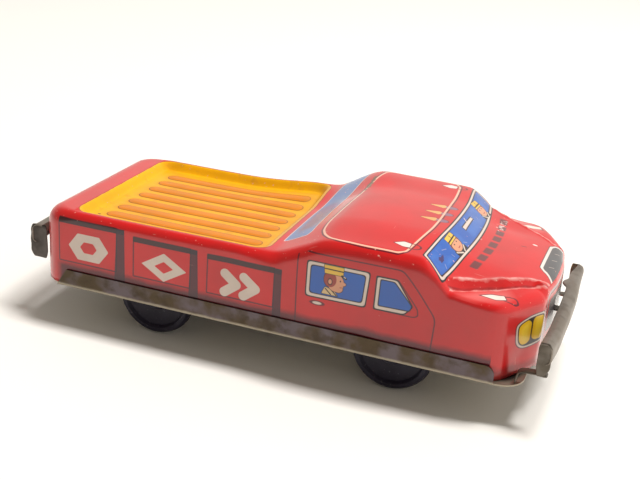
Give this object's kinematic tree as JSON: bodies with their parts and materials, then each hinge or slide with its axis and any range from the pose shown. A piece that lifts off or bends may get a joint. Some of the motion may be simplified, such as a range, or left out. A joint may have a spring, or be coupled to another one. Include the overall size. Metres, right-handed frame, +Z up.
{
  "type": "wind-up toy pick-up truck",
  "caption": "Pressed tinplate toy pick-up truck with a cargo tray, bumpers, rolling wheels and a clockwork motor wound by a side key.",
  "frame": {"origin": "on the ground under the middle of the chassis's side flanges, on the centre plane", "axes": "+X towards the nose, +Y towards the truck's left (key) side, +Z up"},
  "size_m": [0.121, 0.0617, 0.0339],
  "materials": {
    "red_tinplate": "lithographed tinplate, gloss varnish, worn at its edges",
    "bare_tinplate": "plain tinned sheet, tarnished",
    "wheel_black": "dark lacquer, satin",
    "axle_steel": "drawn steel rod",
    "motor_steel": "pressed sheet steel",
    "gear_brass": "stamped and cut brass",
    "spring_steel": "blued spring steel",
    "key_tin": "nickelled pressed steel"
  },
  "bodies": {
    "chassis": {"body_shell": "red_tinplate", "base_plate": "bare_tinplate", "front_bumper": "bare_tinplate", "rear_bumper": "bare_tinplate", "chassis_rivets": "motor_steel", "front_axle_bracket": "motor_steel", "motor_plate_left": "motor_steel", "motor_plate_right": "motor_steel", "motor_pillar_front": "axle_steel", "motor_pillar_rear": "axle_steel", "spring_pillar": "axle_steel", "mainspring": "spring_steel"},
    "front_wheelset": {"front_axle": "axle_steel", "front_wheel_left": "wheel_black", "front_wheel_right": "wheel_black"},
    "rear_wheelset": {"rear_axle": "axle_steel", "rear_wheel_left": "wheel_black", "rear_wheel_right": "wheel_black", "axle_pinion": "gear_brass"},
    "second_arbor": {"second_shaft": "axle_steel", "second_gear": "gear_brass", "second_pinion": "gear_brass"},
    "drive_wheel": {"drive_gear": "gear_brass", "click_spring": "spring_steel", "click_rivet": "axle_steel"},
    "winder": {"winding_arbor": "axle_steel", "ratchet_wheel": "motor_steel", "winding_key": "key_tin"}
  },
  "joints": [
    {"name": "front_axle_spin", "type": "hinge", "parent": "chassis", "child": "front_wheelset", "pos_m": [0.028, 0, 0.00887], "axis": [0, 1, 0], "continuous": true},
    {"name": "rear_axle_spin", "type": "hinge", "parent": "chassis", "child": "rear_wheelset", "pos_m": [-0.027, 0, 0.00887], "axis": [0, 1, 0], "continuous": true},
    {"name": "second_arbor_spin", "type": "hinge", "parent": "chassis", "child": "second_arbor", "pos_m": [-0.01735, 0, 0.013], "axis": [0, 1, 0], "continuous": true},
    {"name": "drive_gear_spin", "type": "hinge", "parent": "chassis", "child": "drive_wheel", "pos_m": [-0.00669, 0, 0.0144], "axis": [0, 1, 0], "continuous": true},
    {"name": "winding_key_turn", "type": "hinge", "parent": "chassis", "child": "winder", "pos_m": [-0.00669, 0, 0.0144], "axis": [0, 1, 0], "range_deg": [0, 1440]}
  ],
  "couplings": [
    {"joint": "second_arbor_spin", "follows": "rear_axle_spin", "ratio": -0.3125},
    {"joint": "drive_gear_spin", "follows": "rear_axle_spin", "ratio": 0.094697}
  ]
}
